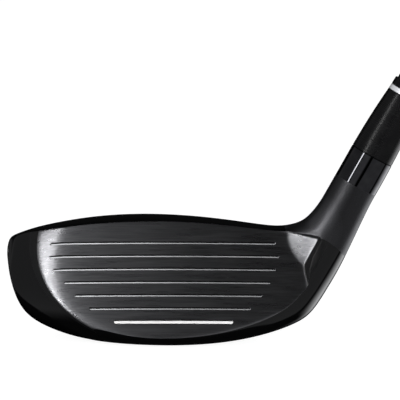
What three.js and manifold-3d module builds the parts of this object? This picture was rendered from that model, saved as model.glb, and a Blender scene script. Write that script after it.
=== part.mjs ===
// Right-handed hybrid golf club at address: head, face plate, filled score lines, ferrule, shaft and grip.
// Millimetres, +Z up. The origin is on the ground under the middle of the sole's front.
// +X runs from the toe to the heel, and +Y runs back from the face.
import * as THREE from "three";
import { mergeVertices } from "three/addons/utils/BufferGeometryUtils.js";
import Module from "manifold-3d";

// Club
const LOFT = THREE.MathUtils.degToRad(20);
const LIE = THREE.MathUtils.degToRad(61.1);
const CLUB_LENGTH = 1005;
const AXIS_GROUND_X = 30.2;
const AXIS_BACK_Y = 15;
const GAP = 0.3;

// Head: each station is one section of the head, from the toe's tip to the top of the hosel.
// top and bottom are [x, z]; front and back are depths; crownY and soleY are the depths of top and bottom;
// edge raises or lowers the trailing edge; lean is the share of the loft that the section follows;
// round holds the four corner exponents: top front, bottom front, top back, bottom back.
const HOSEL_TOP = 64.6;
const HOSEL_RADIUS = 6.75;
const HEAD_STATIONS = [
  station([-48.95, 27.0], [-48.95, 27.0], 13.8, 13.8, 13.8, 13.8, 0, 1, [2.2, 2.2, 2.1, 2.1]),
  station([-48.4, 29.9], [-48.7, 23.4], 12.9, 19.0, 13.6, 13.7, 0, 1, [2.4, 2.1, 2.1, 2.1]),
  station([-47.0, 31.4], [-47.7, 18.2], 10.6, 24.5, 12.8, 13.2, 0, 1, [3.2, 2.0, 2.1, 2.2]),
  station([-44.0, 32.6], [-45.2, 11.9], 4.9, 31.0, 12.0, 12.7, 0, 1, [5.2, 2.0, 2.1, 2.3]),
  station([-38.7, 34.1], [-40.6, 7.1], 0.6, 38.0, 11.4, 12.2, -0.03, 1, [6.6, 2.0, 2.1, 2.4]),
  station([-31.0, 35.6], [-32.6, 3.5], -2.2, 44.5, 11.0, 11.6, -0.07, 1, [6.4, 1.95, 2.1, 2.5]),
  station([-21.0, 36.9], [-22.0, 1.1], -4.2, 49.5, 11.0, 10.6, -0.12, 1, [5.2, 1.95, 2.1, 2.6]),
  station([-8.0, 37.5], [-8.6, 0.1], -6.0, 52.5, 11.0, 9.6, -0.15, 1, [4.7, 2.2, 2.1, 2.6]),
  station([6.0, 37.0], [5.4, 0.0], -6.2, 52.0, 11.0, 9.0, -0.15, 1, [5.6, 2.1, 2.1, 2.6]),
  station([18.0, 35.85], [18.6, 1.0], -5.4, 47.5, 11.0, 9.0, -0.12, 1, [6.9, 1.85, 2.1, 2.5]),
  station([27.0, 34.8], [29.8, 3.2], -3.2, 40.0, 11.4, 9.6, -0.08, 0.95, [7.6, 1.75, 2.1, 2.4]),
  station([33.0, 34.4], [38.0, 5.9], -0.4, 33.0, 12.0, 11.2, -0.04, 0.89, [7.0, 1.85, 2.1, 2.3]),
  station([37.5, 35.1], [43.6, 9.6], 2.4, 28.5, 13.2, 13.4, 0, 0.70, [5.2, 2.0, 2.05, 2.15]),
  station([41.6, 37.4], [48.4, 16.6], 4.8, 25.2, 14.4, 14.9, 0, 0.3, [2.6, 2.0, 2.0, 2.05]),
  station([45.3, 41.8], [53.2, 25.4], 7.0, 23.0, 14.9, 15.0, 0, 0.1, [2.3, 2.1, 2.0, 2.0]),
  hoselStation(49, HOSEL_RADIUS + 0.12),
  hoselStation(57, HOSEL_RADIUS + 0.04),
  hoselStation(HOSEL_TOP, HOSEL_RADIUS),
];
const HEAD_ROWS = 42;
const HEAD_COLUMNS = 36;
const CAVITY = { wall: 1.6, from: 1.6, to: 10.6, rows: 12, columns: 20 };
const SOLE_WEIGHT = { width: 24, depth: 11, height: 9, x: -4, y: 40 };

// Face
const LEADING_EDGE_Z = 2.6;
const BULGE_RADIUS = 500;
const ROLL_RADIUS = 500;
const FACE_CENTRE = { x: -3, z: 19 };
const TOE_ROLL = { x: -33.4, z: 25, square: 0.016, fourth: 5e-5, slope: 0.3, blend: 2.6 };
const TOE_CREASE = { x: -39.6, z: 29, square: 0.0225, fourth: 1.4e-5, slope: 0.6, blend: 0.7 };
const HEEL_RAMP = { x: 36, slope: 0.4, curl: 0.0556, curlZ: 33, gone: 20, full: 27, blend: 0.5 };
const RAMP_TOP = { z: 33.7, fall: 0.2, slope: 1.2, blend: 0.3 };
const HEEL_EDGE = { along: 20, square: 0.031, across: -1.05 };
const HEEL_CREASE = { inside: -1, more: 4.2, from: 20, to: 27, start: 6, full: 14, slope: 0.9, blend: 0.4 };
const FACE_GRID = {
  x: [
    ...[-60, -50, -47, -45, -43, -42, -41, -40, -39, -38, -37, -36, -35, -34, -33, -31, -28],
    ...[-22, -14, -6, 2, 10, 18, 25, 30, 33, 35, 36, 37, 38, 39, 40, 41, 42, 43, 44, 45, 46, 47, 49, 54, 78],
  ],
  z: [-8, 0, 3, 6, 9, 12, 15, 18, 21, 24, 27, 29, 31, 32, 33, 34, 35, 36, 38, 42, 52, 64],
};
const CLEAR_OF_FACE = -40;
const FACE_THICKNESS = 2.4;
const FACE_RIM_THICKNESS = 2.8;
const WINDOW_LAYER = [-5, 3.4];
const PRISM_DEPTH = 60;
const PLATE_CENTRE = [0, 18];
const PLATE_POINTS = 48;
const PLATE_OUTLINE = [
  [-37.2, 29.4], [-33.6, 31.7], [-24, 33.6], [-8, 34.6], [8, 34.1], [20, 33.2], [28, 32.4], [33.6, 31],
  [35.4, 27.6], [35.2, 22], [33.2, 15.4], [29.2, 9.6], [22, 5.6], [10, 3], [-4, 2.1], [-17, 3.2],
  [-24.2, 5.8], [-29.4, 9.8], [-33.4, 14.2], [-36.4, 19.6], [-37.7, 24.6],
];

// Score lines: the six long grooves hold silver paint, and the lowest one, the leading line, holds white.
const SCORE_PITCH = 4.06;
const LEADING_LINE_HEIGHT = 5.5;
const SCORE_SPANS = [
  [-16.3, 19.6], [-23.6, 24.7], [-28.1, 28.3], [-31.4, 30.8], [-34.6, 32.5], [-35.9, 33.5], [-35.5, 32.3],
];
const SCORE_GROOVE = { width: 0.9, fill: 0.4 };
const LEADING_GROOVE = { width: 1.3, fill: 0.8 };
const GROOVE_LAYER = [-2, 0.6];
const FILL_LAYER = [0.05, 0.3];

// Hosel bore, ferrule and shaft, as distances along the shaft's axis from the ground
const BORE = { radius: 5.05, depth: 30, clearOfTop: 80 };
const FERRULE = {
  footRadius: 6.7,
  waistRadius: 6.5,
  waistShare: 0.55,
  neckRadius: 5.55,
  ringTopRadius: 5.47,
  capRadius: 5.45,
  topRadius: 5.35,
  bodyLength: 20.5,
  ringLength: 1.6,
  capLength: 2.5,
};
const SHAFT = { tipRadius: 4.7, buttRadius: 7.6, tipBore: 2.9, buttBore: 6.8, parallelTo: 190 };
const SHAFT_CHAMFER = { across: 0.4, along: 0.6 };
const TIP_WEIGHT = { headRadius: 4.3, headLength: 1.2, pinRadius: 2.5, length: 13 };

// Grip: its side is a list of [radius, distance from the grip's mouth], and ends at the cap.
const CAP = { length: 5, radius: 13.4, edge: 1.6, footInset: 0.4, ventRadius: 1 };
const CAP_PLUG = { radius: 5.9, length: 6 };
const GRIP_LENGTH = 262;
const GRIP_FROM = CLUB_LENGTH - CAP.length - GRIP_LENGTH;
const GRIP_TO = CLUB_LENGTH - CAP.length - GAP;
const GRIP_MOUTH_RADIUS = 8.6;
const GRIP_SIDE = [[9.6, 4], [10.4, 40], [11.4, 130], [12.6, 215], [13.2, GRIP_LENGTH - GAP]];
const TAPE = { thickness: 0.4, fromMouth: 4, fromCap: 1 };

const ROUND_SEGMENTS = 32;

const wasm = await Module();
wasm.setup();

function station(top, bottom, front, back, crownY, soleY, edge, lean, round) {
  return [...top, ...bottom, front, back, crownY, soleY, edge, lean, ...round];
}

// A round section across the shaft's axis, s along the axis from the ground.
function hoselStation(s, radius) {
  const x = AXIS_GROUND_X + s * Math.cos(LIE);
  const z = s * Math.sin(LIE);
  const across = [radius * Math.sin(LIE), radius * Math.cos(LIE)];
  const top = [x - across[0], z + across[1]];
  const bottom = [x + across[0], z - across[1]];
  const [front, back] = [AXIS_BACK_Y - radius, AXIS_BACK_Y + radius];
  return station(top, bottom, front, back, AXIS_BACK_Y, AXIS_BACK_Y, 0, 0, [2, 2, 2, 2]);
}

// A natural cubic spline through values at whole numbers, the first one at start.
function naturalSpline(values, start) {
  const last = values.length - 1;
  const bend = new Array(last + 1).fill(0);
  const pivot = new Array(last + 1).fill(0);
  for (let i = 1; i < last; i++) {
    pivot[i] = 1 / (4 - pivot[i - 1]);
    bend[i] = (6 * (values[i + 1] - 2 * values[i] + values[i - 1]) - bend[i - 1]) * pivot[i];
  }
  for (let i = last - 1; i > 0; i--) bend[i] -= pivot[i] * bend[i + 1];
  return (u) => {
    const i = THREE.MathUtils.clamp(Math.floor(u - start), 0, last - 1);
    const t = u - start - i;
    const r = 1 - t;
    return values[i] * r + values[i + 1] * t + ((r ** 3 - r) * bend[i] + (t ** 3 - t) * bend[i + 1]) / 6;
  };
}

// One spline that runs down one column of the stations to the toe's tip and back up another column.
function throughToe(columnBefore, columnAfter) {
  const before = HEAD_STATIONS.map((row) => row[columnBefore]).slice(1).reverse();
  const after = HEAD_STATIONS.map((row) => row[columnAfter]);
  return naturalSpline([...before, ...after], -before.length);
}

const railX = throughToe(0, 2);
const railZ = throughToe(1, 3);
const railY = throughToe(4, 5);
const [crownY, soleY, edge, lean, topFront, bottomFront, topBack, bottomBack] = HEAD_STATIONS[0]
  .slice(6)
  .map((_, i) => throughToe(6 + i, 6 + i));

// A point of the head's skin before the face is cut: u is the station, and angle turns from top to front.
function headPoint(u, angle, inset = 0) {
  const c = Math.cos(angle);
  const s = Math.sin(angle);
  const isTop = c >= 0;
  const isFront = s >= 0;
  const corner = isFront ? (isTop ? topFront(u) : bottomFront(u)) : isTop ? topBack(u) : bottomBack(u);
  const size = (Math.abs(c) ** corner + Math.abs(s) ** corner) ** (-1 / corner);
  const rise = Math.abs(c) * size;
  const reach = Math.abs(s) * size;
  const middle = isFront ? 0 : edge(u);
  const share = isTop ? middle + (1 - middle) * rise : middle - (1 + middle) * rise;
  const halfX = (railX(-u) - railX(u)) / 2;
  const halfZ = (railZ(-u) - railZ(u)) / 2;
  const keep = inset ? 1 - inset / Math.hypot(halfX, halfZ) : 1;
  const x = (railX(-u) + railX(u)) / 2 + halfX * keep * share;
  const z = (railZ(-u) + railZ(u)) / 2 + halfZ * keep * share;
  const y0 = isTop ? crownY(u) : soleY(u);
  const y = isFront ? y0 - (y0 - railY(-u) - inset) * reach : y0 + (railY(u) - inset - y0) * reach;
  return new THREE.Vector3(x, y + (z - LEADING_EDGE_Z) * Math.tan(LOFT) * lean(u), z);
}

// The value where it is positive and 0 where it isn't, with a rounded corner between.
function softPositive(value, blend) {
  return (value + Math.hypot(value, blend)) / 2;
}

// How far a point lies towards the toe from the crease at the toe, where the face turns back.
function pastToeCrease(x, z) {
  const below = TOE_CREASE.z - z;
  return TOE_CREASE.x + TOE_CREASE.square * below ** 2 + TOE_CREASE.fourth * below ** 4 - x;
}

// How far a point lies towards the shaft's axis from the crease at the heel, and the face's rise there.
function pastHeelCrease(x, z) {
  const along = (x - AXIS_GROUND_X) * Math.cos(LIE) + z * Math.sin(LIE);
  const across = -(x - AXIS_GROUND_X) * Math.sin(LIE) + z * Math.cos(LIE);
  const edgeAcross = HEEL_EDGE.across + HEEL_EDGE.square * Math.max(HEEL_EDGE.along - along, 0) ** 2;
  const inside = HEEL_CREASE.more * THREE.MathUtils.smoothstep(along, HEEL_CREASE.from, HEEL_CREASE.to);
  const rise = HEEL_CREASE.slope * THREE.MathUtils.smoothstep(along, HEEL_CREASE.start, HEEL_CREASE.full);
  return { past: edgeAcross + HEEL_CREASE.inside + inside - across, rise };
}

// Depth of the face: a lofted plane with bulge and roll, turned back at the toe, ramped to the hosel.
function faceY(x, z) {
  const bulge = (x - FACE_CENTRE.x) ** 2 / (2 * BULGE_RADIUS);
  const roll = ((z - FACE_CENTRE.z) ** 2 - (LEADING_EDGE_Z - FACE_CENTRE.z) ** 2) / (2 * ROLL_RADIUS);
  const offMiddle = z - TOE_ROLL.z;
  const pastToe = TOE_ROLL.x + TOE_ROLL.square * offMiddle ** 2 + TOE_ROLL.fourth * offMiddle ** 4 - x;
  const pastRamp = x - HEEL_RAMP.x - HEEL_RAMP.curl * Math.max(HEEL_RAMP.curlZ - z, 0) ** 2;
  const rampSlope = HEEL_RAMP.slope * THREE.MathUtils.smoothstep(z, HEEL_RAMP.gone, HEEL_RAMP.full);
  const aboveRamp = z - RAMP_TOP.z + RAMP_TOP.fall * (x - HEEL_RAMP.x);
  const { past, rise } = pastHeelCrease(x, z);
  return (
    (z - LEADING_EDGE_Z) * Math.tan(LOFT) + bulge + roll
    + TOE_ROLL.slope * softPositive(pastToe, TOE_ROLL.blend)
    + TOE_CREASE.slope * softPositive(pastToeCrease(x, z), TOE_CREASE.blend)
    - rampSlope * softPositive(pastRamp, HEEL_RAMP.blend)
    - RAMP_TOP.slope * softPositive(aboveRamp, RAMP_TOP.blend)
    - rise * softPositive(past, HEEL_CREASE.blend)
  );
}

// Closed skin over rings of equal point counts, each end closed with a fan to its middle.
function skinGeometry(rings) {
  const count = rings[0].length;
  const middle = (ring) => ring.reduce((sum, p) => sum.add(p), new THREE.Vector3()).divideScalar(count);
  const points = [...rings.flat(), middle(rings[0]), middle(rings.at(-1))];
  const faces = [];
  for (let i = 0; i + 1 < rings.length; i++) {
    for (let j = 0; j < count; j++) {
      const k = (j + 1) % count;
      const [a, b] = [i * count + j, i * count + k];
      faces.push(a, b, a + count, b, b + count, a + count);
    }
  }
  const lastRing = (rings.length - 1) * count;
  for (let j = 0; j < count; j++) {
    const k = (j + 1) % count;
    faces.push(points.length - 2, k, j);
    faces.push(points.length - 1, lastRing + j, lastRing + k);
  }
  return new THREE.BufferGeometry().setFromPoints(points).setIndex(faces);
}

function headRings(from, to, rows, columns, inset) {
  const rings = [];
  for (let i = 0; i <= rows; i++) {
    const u = THREE.MathUtils.lerp(from, to, i / rows);
    const ring = [];
    for (let j = 0; j < columns; j++) ring.push(headPoint(u, (j / columns) * 2 * Math.PI, inset));
    rings.push(ring);
  }
  return rings;
}

// A sheet over the face's grid, from one depth to another; each depth is a function of x and z.
function sheetSolid(nearDepth, farDepth) {
  const rings = FACE_GRID.x.map((x) => {
    const back = FACE_GRID.z.map((z) => new THREE.Vector3(x, farDepth(x, z), z));
    const front = FACE_GRID.z.map((z) => new THREE.Vector3(x, nearDepth(x, z), z));
    return [...back, ...front.reverse()];
  });
  return solidOf(skinGeometry(rings));
}

// A layer between two depths behind the face's surface.
function faceLayer(near, far) {
  return sheetSolid((x, z) => faceY(x, z) + near, (x, z) => faceY(x, z) + far);
}

// Everything in front of a depth behind the face's surface.
function frontOfFace(far) {
  return sheetSolid(() => CLEAR_OF_FACE, (x, z) => faceY(x, z) + far);
}

// A closed three.js geometry as a solid that booleans can use. Triangles that merging flattens are dropped.
function solidOf(geometry) {
  const bare = geometry.clone();
  bare.deleteAttribute("normal");
  bare.deleteAttribute("uv");
  const merged = mergeVertices(bare, 1e-4);
  const kept = [];
  for (let i = 0; i < merged.index.count; i += 3) {
    const [a, b, c] = [0, 1, 2].map((k) => merged.index.getX(i + k));
    if (a !== b && b !== c && c !== a) kept.push(a, b, c);
  }
  const vertProperties = merged.attributes.position.array;
  return new wasm.Manifold(new wasm.Mesh({ numProp: 3, vertProperties, triVerts: new Uint32Array(kept) }));
}

function geometryOf(solid) {
  const mesh = solid.getMesh();
  const geometry = new THREE.BufferGeometry();
  geometry.setAttribute("position", new THREE.BufferAttribute(mesh.vertProperties, 3));
  geometry.setIndex(new THREE.BufferAttribute(mesh.triVerts, 1));
  geometry.computeVertexNormals();
  return geometry;
}

// The face's own frame: x along the face, y up it, z out of it, with its origin at the leading edge.
const faceFrame = new THREE.Matrix4().makeBasis(
  new THREE.Vector3(1, 0, 0),
  new THREE.Vector3(0, Math.sin(LOFT), Math.cos(LOFT)),
  new THREE.Vector3(0, -Math.cos(LOFT), Math.sin(LOFT)),
);
faceFrame.setPosition(0, 0, LEADING_EDGE_Z);

// A bar through the face, with the outline of a shape drawn on it.
function facePrism(shape) {
  const options = { depth: PRISM_DEPTH, bevelEnabled: false, curveSegments: 4 };
  const prism = new THREE.ExtrudeGeometry(shape, options);
  prism.translate(0, 0, -PRISM_DEPTH / 2);
  return solidOf(prism.applyMatrix4(faceFrame));
}

// The face plate's outline, drawn in towards its centre by shrink.
function plateShape(shrink) {
  const centre = new THREE.Vector2(...PLATE_CENTRE);
  const points = PLATE_OUTLINE.map(([x, y]) => {
    const point = new THREE.Vector2(x, y);
    return point.sub(point.clone().sub(centre).setLength(shrink));
  });
  const outline = new THREE.CatmullRomCurve3(points.map((p) => new THREE.Vector3(p.x, p.y, 0)), true);
  const corners = outline.getPoints(PLATE_POINTS).slice(0, -1);
  return new THREE.Shape(corners.map((p) => new THREE.Vector2(p.x, p.y)));
}

// A slot with round ends on the face, at a height up it.
function slotShape([left, right], height, width) {
  const radius = width / 2;
  const shape = new THREE.Shape();
  shape.absarc(right - radius, height, radius, -Math.PI / 2, Math.PI / 2, false);
  shape.absarc(left + radius, height, radius, Math.PI / 2, (3 * Math.PI) / 2, false);
  return shape;
}

// A turned piece about the shaft's axis: profile points are [radius, distance along the axis].
function turnedGeometry(profile) {
  return new THREE.LatheGeometry(profile.map(([r, s]) => new THREE.Vector2(r, s)), ROUND_SEGMENTS);
}

// Turned pieces stand on +Y, so their group tips that axis over to the lie angle.
const shaftLine = new THREE.Group();
shaftLine.position.set(AXIS_GROUND_X, AXIS_BACK_Y, 0);
shaftLine.quaternion.setFromUnitVectors(
  new THREE.Vector3(0, 1, 0),
  new THREE.Vector3(Math.cos(LIE), 0, Math.sin(LIE)),
);
shaftLine.updateMatrixWorld(true);

function headSolid() {
  const skin = solidOf(skinGeometry(headRings(0, HEAD_STATIONS.length - 1, HEAD_ROWS, HEAD_COLUMNS, 0)));
  return skin.subtract(frontOfFace(0));
}

function hollowSolid(wall) {
  const { from, to, rows, columns } = CAVITY;
  return solidOf(skinGeometry(headRings(from, to, rows, columns, wall)));
}

function headBody() {
  const behindFace = hollowSolid(CAVITY.wall).subtract(frontOfFace(FACE_RIM_THICKNESS));
  const window = facePrism(plateShape(0)).intersect(faceLayer(...WINDOW_LAYER));
  const [foot, top] = [HOSEL_TOP - BORE.depth, BORE.clearOfTop];
  const boreProfile = [[0, foot], [BORE.radius, foot], [BORE.radius, top], [0, top]];
  const bore = solidOf(turnedGeometry(boreProfile).applyMatrix4(shaftLine.matrixWorld));
  return geometryOf(headSolid().subtract(behindFace).subtract(window).subtract(bore));
}

// A pad that lies on the sole inside the head, low and far back.
function soleWeight() {
  const { width, depth, height, x, y } = SOLE_WEIGHT;
  const block = new THREE.BoxGeometry(width, depth, 2 * height).translate(x, y, 0);
  return geometryOf(hollowSolid(CAVITY.wall + GAP).intersect(solidOf(block)));
}

function scoreHeight(line) {
  return LEADING_LINE_HEIGHT + line * SCORE_PITCH;
}

function facePlate() {
  let plate = facePrism(plateShape(GAP)).intersect(faceLayer(0, FACE_THICKNESS));
  const grooveLayer = faceLayer(...GROOVE_LAYER);
  SCORE_SPANS.forEach((span, line) => {
    const { width } = line ? SCORE_GROOVE : LEADING_GROOVE;
    plate = plate.subtract(facePrism(slotShape(span, scoreHeight(line), width)).intersect(grooveLayer));
  });
  return geometryOf(plate);
}

function scoreFill(line) {
  const { width, fill } = line ? SCORE_GROOVE : LEADING_GROOVE;
  const spare = (width - fill) / 2;
  const [left, right] = SCORE_SPANS[line];
  const slot = slotShape([left + spare, right - spare], scoreHeight(line), fill);
  return geometryOf(facePrism(slot).intersect(faceLayer(...FILL_LAYER)));
}

function shaftRadius(s, tip = SHAFT.tipRadius, butt = SHAFT.buttRadius) {
  return THREE.MathUtils.mapLinear(Math.max(s, SHAFT.parallelTo), SHAFT.parallelTo, CLUB_LENGTH, tip, butt);
}

// A flanged pin that closes the shaft's tip.
function tipWeight() {
  const { headRadius, headLength, pinRadius, length } = TIP_WEIGHT;
  const foot = HOSEL_TOP - BORE.depth + GAP;
  return turnedGeometry([
    [0, foot], [headRadius, foot], [headRadius, foot + headLength], [pinRadius, foot + headLength],
    [pinRadius, foot + length], [0, foot + length],
  ]);
}

function shaft() {
  const foot = HOSEL_TOP - BORE.depth + TIP_WEIGHT.headLength + 2 * GAP;
  const end = CLUB_LENGTH - CAP.length - GAP;
  const bore = (s) => shaftRadius(s, SHAFT.tipBore, SHAFT.buttBore);
  return turnedGeometry([
    [bore(foot), foot], [SHAFT.tipRadius - SHAFT_CHAMFER.across, foot],
    [SHAFT.tipRadius, foot + SHAFT_CHAMFER.along], [SHAFT.tipRadius, SHAFT.parallelTo],
    [shaftRadius(end), end], [bore(end), end], [bore(foot), SHAFT.parallelTo], [bore(foot), foot],
  ]);
}

function ferruleBody() {
  const foot = HOSEL_TOP + GAP;
  const top = HOSEL_TOP + FERRULE.bodyLength;
  const curve = new THREE.QuadraticBezierCurve(
    new THREE.Vector2(FERRULE.footRadius, foot),
    new THREE.Vector2(FERRULE.waistRadius, THREE.MathUtils.lerp(foot, top, FERRULE.waistShare)),
    new THREE.Vector2(FERRULE.neckRadius, top),
  );
  const side = curve.getPoints(5).map((p) => [p.x, p.y]);
  return turnedGeometry([[BORE.radius, foot], ...side, [BORE.radius, top], [BORE.radius, foot]]);
}

// A plain ring on the shaft between two distances along the axis.
function collar(from, to, lowRadius, highRadius) {
  const corners = [[BORE.radius, from], [lowRadius, from], [highRadius, to], [BORE.radius, to]];
  return turnedGeometry([...corners, corners[0]]);
}

function ferruleRing() {
  const from = HOSEL_TOP + FERRULE.bodyLength + GAP;
  return collar(from, from + FERRULE.ringLength - GAP, FERRULE.neckRadius, FERRULE.ringTopRadius);
}

function ferruleCap() {
  const from = HOSEL_TOP + FERRULE.bodyLength + FERRULE.ringLength + GAP;
  return collar(from, from + FERRULE.capLength - GAP, FERRULE.capRadius, FERRULE.topRadius);
}

// The tape is a sleeve that follows the shaft's taper, under the grip.
function gripTape() {
  const [from, to] = [GRIP_FROM + TAPE.fromMouth, GRIP_TO - TAPE.fromCap];
  const inner = (s) => [shaftRadius(s) + GAP, s];
  const outer = (s) => [shaftRadius(s) + GAP + TAPE.thickness, s];
  return turnedGeometry([inner(from), outer(from), outer(to), inner(to), inner(from)]);
}

function grip() {
  const inner = (s) => [shaftRadius(s) + 2 * GAP + TAPE.thickness, s];
  const outer = new THREE.SplineCurve(GRIP_SIDE.map(([r, s]) => new THREE.Vector2(r, GRIP_FROM + s)));
  const side = outer.getPoints(10).map((p) => [p.x, p.y]);
  const mouth = [GRIP_MOUTH_RADIUS, GRIP_FROM];
  return turnedGeometry([inner(GRIP_FROM), mouth, ...side, inner(GRIP_TO), inner(GRIP_FROM)]);
}

// The butt cap: a flat-topped button with a vent hole, and a plug that reaches into the shaft.
function gripCap() {
  const from = CLUB_LENGTH - CAP.length;
  const plugEnd = from - CAP_PLUG.length;
  const rim = [0, 0.25, 0.5, 0.75, 1].map((share) => {
    const turn = share * (Math.PI / 2);
    const r = CAP.radius - CAP.edge * (1 - Math.cos(turn));
    return [r, CLUB_LENGTH - CAP.edge * (1 - Math.sin(turn))];
  });
  return turnedGeometry([
    [CAP.ventRadius, plugEnd], [CAP_PLUG.radius, plugEnd], [CAP_PLUG.radius, from],
    [CAP.radius - CAP.footInset, from],
    ...rim, [CAP.ventRadius, CLUB_LENGTH], [CAP.ventRadius, plugEnd],
  ]);
}

function material(color, roughness, metalness) {
  return new THREE.MeshStandardMaterial({ color, roughness, metalness });
}

const blackPaint = () => material(0x0b0b0d, 0.15, 0);
const brushedSteel = () => material(0x5c5d60, 0.35, 1);
const silverPaint = () => material(0xc4c6ca, 0.4, 0.3);
const whitePaint = () => material(0xf4f4f2, 0.5, 0);
const glossPlastic = () => material(0x111113, 0.2, 0);
const denseAlloy = () => material(0x6d6a66, 0.6, 1);
const brass = () => material(0xb08d4a, 0.35, 1);
const brightTrim = () => material(0xb7bbc4, 0.25, 0.9);
const shaftPaint = () => material(0x0d0d10, 0.2, 0);
const gripRubber = () => material(0x1a1a1b, 0.85, 0);
const paperTape = () => material(0xd8cfb8, 0.9, 0);

function named(name, geometry, surface) {
  const mesh = new THREE.Mesh(geometry, surface);
  mesh.name = name;
  return mesh;
}

const club = new THREE.Group();
const head = new THREE.Group();
head.add(named("head_body", headBody(), blackPaint()));
head.add(named("face_plate", facePlate(), brushedSteel()));
head.add(named("sole_weight", soleWeight(), denseAlloy()));
head.add(named("leading_fill", scoreFill(0), whitePaint()));
for (let line = 1; line < SCORE_SPANS.length; line++) {
  head.add(named(`score_fill_${line}`, scoreFill(line), silverPaint()));
}
shaftLine.add(named("shaft", shaft(), shaftPaint()));
shaftLine.add(named("tip_weight", tipWeight(), brass()));
shaftLine.add(named("ferrule_body", ferruleBody(), glossPlastic()));
shaftLine.add(named("ferrule_ring", ferruleRing(), brightTrim()));
shaftLine.add(named("ferrule_cap", ferruleCap(), glossPlastic()));
shaftLine.add(named("grip_tape", gripTape(), paperTape()));
shaftLine.add(named("grip", grip(), gripRubber()));
shaftLine.add(named("grip_cap", gripCap(), gripRubber()));
club.add(head, shaftLine);

export default club;
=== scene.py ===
"""The looks of the hybrid golf club: its painted, brushed and satin head, ferrule, shaft and grip."""

import itertools
import math

import bpy
import numpy as np
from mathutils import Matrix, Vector


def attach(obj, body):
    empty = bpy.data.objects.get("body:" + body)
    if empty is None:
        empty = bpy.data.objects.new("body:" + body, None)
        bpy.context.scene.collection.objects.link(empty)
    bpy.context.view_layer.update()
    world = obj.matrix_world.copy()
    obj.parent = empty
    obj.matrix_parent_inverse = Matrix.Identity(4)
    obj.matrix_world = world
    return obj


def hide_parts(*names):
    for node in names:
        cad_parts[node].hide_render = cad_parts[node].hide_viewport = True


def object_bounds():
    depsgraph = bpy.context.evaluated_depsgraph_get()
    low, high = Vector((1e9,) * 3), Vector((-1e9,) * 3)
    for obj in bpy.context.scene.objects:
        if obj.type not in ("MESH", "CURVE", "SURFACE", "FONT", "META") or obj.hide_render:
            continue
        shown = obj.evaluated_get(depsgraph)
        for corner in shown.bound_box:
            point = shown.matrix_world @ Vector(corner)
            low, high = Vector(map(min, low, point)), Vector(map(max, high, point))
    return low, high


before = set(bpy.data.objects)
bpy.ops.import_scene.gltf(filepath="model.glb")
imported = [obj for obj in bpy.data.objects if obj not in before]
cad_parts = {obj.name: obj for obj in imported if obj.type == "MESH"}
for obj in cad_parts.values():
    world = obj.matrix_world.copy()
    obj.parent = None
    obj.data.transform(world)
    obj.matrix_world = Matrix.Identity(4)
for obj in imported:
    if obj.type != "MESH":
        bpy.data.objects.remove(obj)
cad_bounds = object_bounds()

MM = 0.001

# --- Design of the head, in millimetres, as in the CAD part ---------------------------------------
LOFT = math.radians(20)
LIE = math.radians(61.1)
AXIS_GROUND_X = 30.2
AXIS_BACK_Y = 15.0
HOSEL_TOP = 64.6
HOSEL_RADIUS = 6.75
LEADING_EDGE_Z = 2.6
BULGE_RADIUS = 500
ROLL_RADIUS = 500
FACE_CENTRE = (-3, 19)
TOE_ROLL = {"x": -33.4, "z": 25, "square": 0.016, "fourth": 5e-5, "slope": 0.30, "blend": 2.6}
HEEL_RAMP = {"x": 36, "slope": 0.4, "curl": 0.0556, "curl_z": 33, "gone": 20, "full": 27, "blend": 0.5}
RAMP_TOP = {"z": 33.7, "fall": 0.2, "slope": 1.2, "blend": 0.3}
HEEL_EDGE = {"along": 20, "square": 0.031, "across": -1.05}
TOE_CREASE = {"x": -39.6, "z": 29, "square": 0.0225, "fourth": 1.4e-5, "slope": 0.6, "blend": 0.7}
HEEL_CREASE = {
    "inside": -1.0, "more": 4.2, "from": 20, "to": 27, "start": 6, "full": 14, "slope": 0.9, "blend": 0.4,
}


def station(top, bottom, front, back, crown_y, sole_y, edge, lean, corners):
    """One section of the head. Its columns are the same as in the CAD part's stations."""
    return [*top, *bottom, front, back, crown_y, sole_y, edge, lean, *corners]


def hosel_station(s, radius):
    """A round section across the shaft's axis, s along the axis from the ground."""
    x, z = AXIS_GROUND_X + s * math.cos(LIE), s * math.sin(LIE)
    dx, dz = radius * math.sin(LIE), radius * math.cos(LIE)
    y = AXIS_BACK_Y
    return station((x - dx, z + dz), (x + dx, z - dz), y - radius, y + radius, y, y, 0, 0, (2, 2, 2, 2))


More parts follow.
